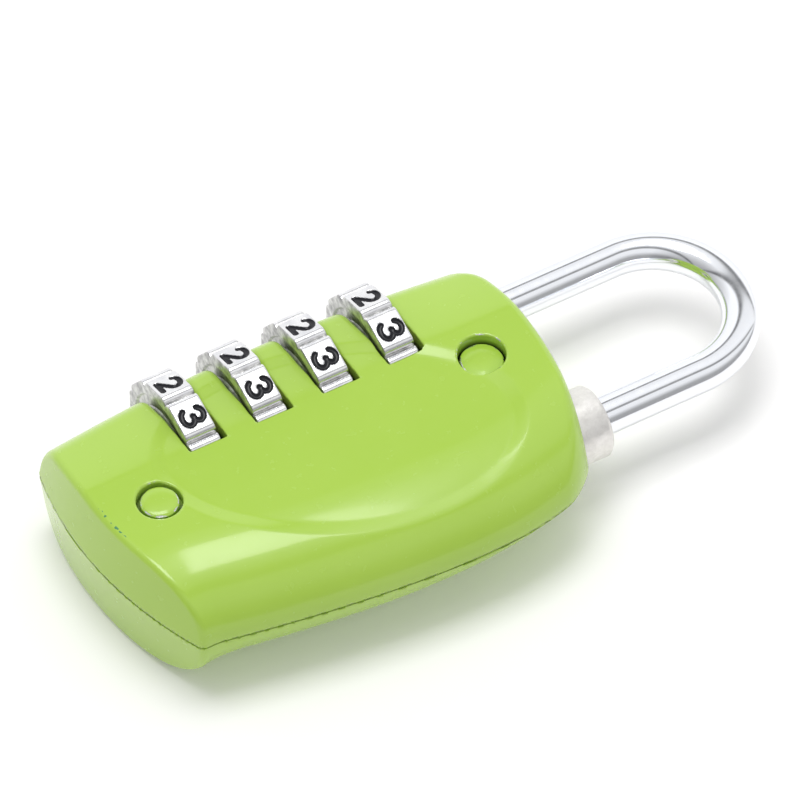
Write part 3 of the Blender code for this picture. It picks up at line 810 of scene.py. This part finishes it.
def polished_zinc():
    """Bright pads with black digits. Between the pads and on the faces the metal is rougher, and darker as
    painted shade.
    """
    nodes = Nodes("polished_zinc")
    ink = nodes.add("ShaderNodeAttribute", attribute_name="ink").outputs["Fac"]
    cast_and_shade = nodes.ramp(nodes.add("ShaderNodeAttribute", attribute_name="cast_and_shade").outputs["Fac"], 0.4, 0.62)
    painted = nodes.ramp(ink, 0.0, 0.00001)
    grain = nodes.noise(1300, 4)
    pad = nodes.mix(nodes.ramp(nodes.noise(700, 4), 0.35, 0.65), (0.80, 0.80, 0.82), (0.93, 0.93, 0.93))
    # Painted shade: the darker grey that the troughs and the faces' rims take on, over the rougher metal
    # there.
    rough_and_shaded = nodes.mix(nodes.ramp(grain, 0.35, 0.65), (0.36, 0.36, 0.36), (0.74, 0.74, 0.73))
    nodes.set(Base_Color=nodes.mix(painted, nodes.mix(cast_and_shade, pad, rough_and_shaded), (0.01, 0.01, 0.014)))
    nodes.set(Metallic=nodes.ramp(painted, 0, 1, 1.0, 0.0), Specular_IOR_Level=0.25)
    nodes.set(Roughness=nodes.ramp(cast_and_shade, 0, 1, 0.2, 0.4))
    nodes.bump(nodes.product(grain, nodes.ramp(cast_and_shade, 0, 1, 0.1, 1.0)), 0.4, 0.0001)
    return nodes.material


def chrome_plate():
    nodes = Nodes("chrome_plate")
    grain = nodes.noise(1200, 4)
    nodes.set(Base_Color=nodes.mix(grain, (0.9, 0.92, 0.97), (0.97, 0.98, 1.0)), Metallic=1.0)
    nodes.set(Roughness=nodes.ramp(grain, 0.3, 0.7, 0.09, 0.15))
    return nodes.material


def dull_nickel():
    nodes = Nodes("dull_nickel")
    grain = nodes.noise(450, 5, 0.7)
    colour = nodes.mix(nodes.ramp(grain, 0.35, 0.65), (0.74, 0.72, 0.69), (0.93, 0.91, 0.88))
    nodes.set(Base_Color=colour, Metallic=0.9)
    nodes.set(Roughness=nodes.ramp(nodes.noise(350, 3), 0.3, 0.7, 0.35, 0.55))
    nodes.bump(grain, 0.5, 0.0002)
    return nodes.material


def machined_brass():
    nodes = Nodes("machined_brass")
    nodes.set(Base_Color=nodes.mix(nodes.noise(500, 3), (0.62, 0.45, 0.18), (0.78, 0.60, 0.28)), Metallic=1.0)
    nodes.set(Roughness=nodes.ramp(nodes.noise(900, 3), 0.3, 0.7, 0.25, 0.45))
    return nodes.material


def spring_steel():
    nodes = Nodes("spring_steel")
    nodes.set(Base_Color=nodes.mix(nodes.noise(600, 3), (0.42, 0.43, 0.45), (0.56, 0.57, 0.58)), Metallic=1.0)
    nodes.set(Roughness=nodes.ramp(nodes.noise(1100, 3), 0.3, 0.7, 0.22, 0.4))
    return nodes.material


# Stage

# In metres and watts
FLOOR_R = 2.0
FLOOR_GAP = 0.0001
KEY_LIGHT_AT = (-0.04, 0.1, 0.75)
KEY_LIGHT_SIZE = (0.49, 0.33)
KEY_LIGHT_POWER = 2.65

# In millimetres from the lock's own origin, and degrees
CAMERA_AT = (-231.385, -448.036, 608.599)
CAMERA_AZIMUTH = -29.934
CAMERA_ELEVATION = 50.002
CAMERA_SENSOR = 36.0
CAMERA_LENS = 360.0

# Degrees up from the horizon behind the lock and over to the one in front, and how bright it is there
SURROUNDINGS = [
    (0, 1.0),
    (45, 1.1),
    (49, 0.2),
    (53, 0.2),
    (58, 0.9),
    (94, 1.0),
    (105, 0.9),
    (109, 0.3),
    (116, 0.3),
    (120, 0.95),
    (138, 0.9),
    (158, 0.4),
    (180, 0.35),
]


def area_light(name, where, target, size, power):
    lamp = bpy.data.lights.new(name, "AREA")
    lamp.shape = "RECTANGLE"
    lamp.size, lamp.size_y = size
    lamp.energy = power
    made = bpy.data.objects.new(name, lamp)
    made.location = where
    made.rotation_euler = (Vector(target) - Vector(where)).to_track_quat("-Z", "Y").to_euler()
    bpy.context.scene.collection.objects.link(made)


def make_floor():
    bm = bmesh.new()
    bmesh.ops.create_circle(bm, cap_ends=True, segments=96, radius=FLOOR_R)
    mesh = bpy.data.meshes.new("floor")
    bm.to_mesh(mesh)
    bm.free()
    floor = bpy.data.objects.new("floor", mesh)
    floor.location.z = -FLOOR_GAP
    bpy.context.scene.collection.objects.link(floor)
    nodes = Nodes("white_floor")
    nodes.set(Base_Color=(0.88, 0.87, 0.87, 1.0), Roughness=0.9)
    nodes.set(Emission_Color=(1.0, 0.99, 0.97, 1.0), Emission_Strength=0.1)
    mesh.materials.append(nodes.material)


def make_stage():
    bpy.context.scene.view_settings.view_transform = "Standard"
    make_floor()
    make_surroundings()
    area_light("softbox_key", KEY_LIGHT_AT, (*KEY_LIGHT_AT[:2], 0), KEY_LIGHT_SIZE, KEY_LIGHT_POWER)


def make_surroundings():
    """A white studio, shaded by the angle from behind the lock over its head, and dimmed to its left."""
    world = bpy.data.worlds.new("studio")
    bpy.context.scene.world = world
    world.use_nodes = True
    tree = world.node_tree
    place = tree.nodes.new("ShaderNodeTexCoord")
    parts = tree.nodes.new("ShaderNodeSeparateXYZ")
    angle = tree.nodes.new("ShaderNodeMath")
    angle.operation = "ARCTAN2"
    turn = tree.nodes.new("ShaderNodeMapRange")
    turn.inputs["From Max"].default_value = math.pi
    ramp = tree.nodes.new("ShaderNodeValToRGB")
    links = tree.links
    links.new(place.outputs["Generated"], parts.inputs["Vector"])
    links.new(parts.outputs["Z"], angle.inputs[0])
    links.new(parts.outputs["Y"], angle.inputs[1])
    links.new(angle.outputs["Value"], turn.inputs["Value"])
    links.new(turn.outputs["Result"], ramp.inputs["Fac"])
    links.new(ramp.outputs["Color"], tree.nodes["Background"].inputs["Color"])
    dimmer = tree.nodes.new("ShaderNodeMapRange")
    dimmer.inputs["From Min"].default_value = -1.0
    dimmer.inputs["From Max"].default_value = -0.3
    dimmer.inputs["To Min"].default_value = 0.4
    links.new(parts.outputs["X"], dimmer.inputs["Value"])
    links.new(dimmer.outputs["Result"], tree.nodes["Background"].inputs["Strength"])
    stops = ramp.color_ramp.elements
    while len(stops) < len(SURROUNDINGS):
        stops.new(0.5)
    for stop, (degrees, _) in zip(stops, SURROUNDINGS):
        stop.position = degrees / 180.0
    for stop, (_, light) in zip(stops, SURROUNDINGS):
        stop.color = (light * 0.985, light * 0.99, light, 1.0)


def make_camera():
    """A long lens from above, in front and to the left."""
    camera = bpy.data.cameras.new("camera")
    camera.sensor_width = CAMERA_SENSOR
    camera.lens = CAMERA_LENS
    camera.clip_end = 10.0
    made = bpy.data.objects.new("camera", camera)
    made.location = Vector(CAMERA_AT) * MM + ORIGIN
    tilt = math.pi / 2 - math.radians(CAMERA_ELEVATION)
    made.rotation_euler = (tilt, 0, math.radians(CAMERA_AZIMUTH))
    bpy.context.scene.collection.objects.link(made)
    bpy.context.scene.camera = made


def finish_kept_nodes(nickel, steel, brass):
    """Gives the CAD pieces that stay as they are their materials."""
    kept = {
        "spindle_bush": nickel,
        "detent_spring": steel,
        "reset_spring": steel,
        "thrust_washer": steel,
        **{f"code_sleeve_{i + 1}": brass for i in range(DIALS)},
    }
    for node, finish in kept.items():
        frame["nodes"][node].data.materials.clear()
        frame["nodes"][node].data.materials.append(finish)


def main():
    paint, zinc, chrome, nickel = green_paint(), polished_zinc(), chrome_plate(), dull_nickel()
    brass, steel = machined_brass(), spring_steel()
    for half in ("front", "rear"):
        make_shell(half, paint)
    for index in range(DIALS):
        make_dial(index, zinc)
    make_shackle(chrome)
    make_collar(nickel)
    make_rivets(paint)
    finish_kept_nodes(nickel, steel, brass)
    make_stage()
    make_camera()


main()
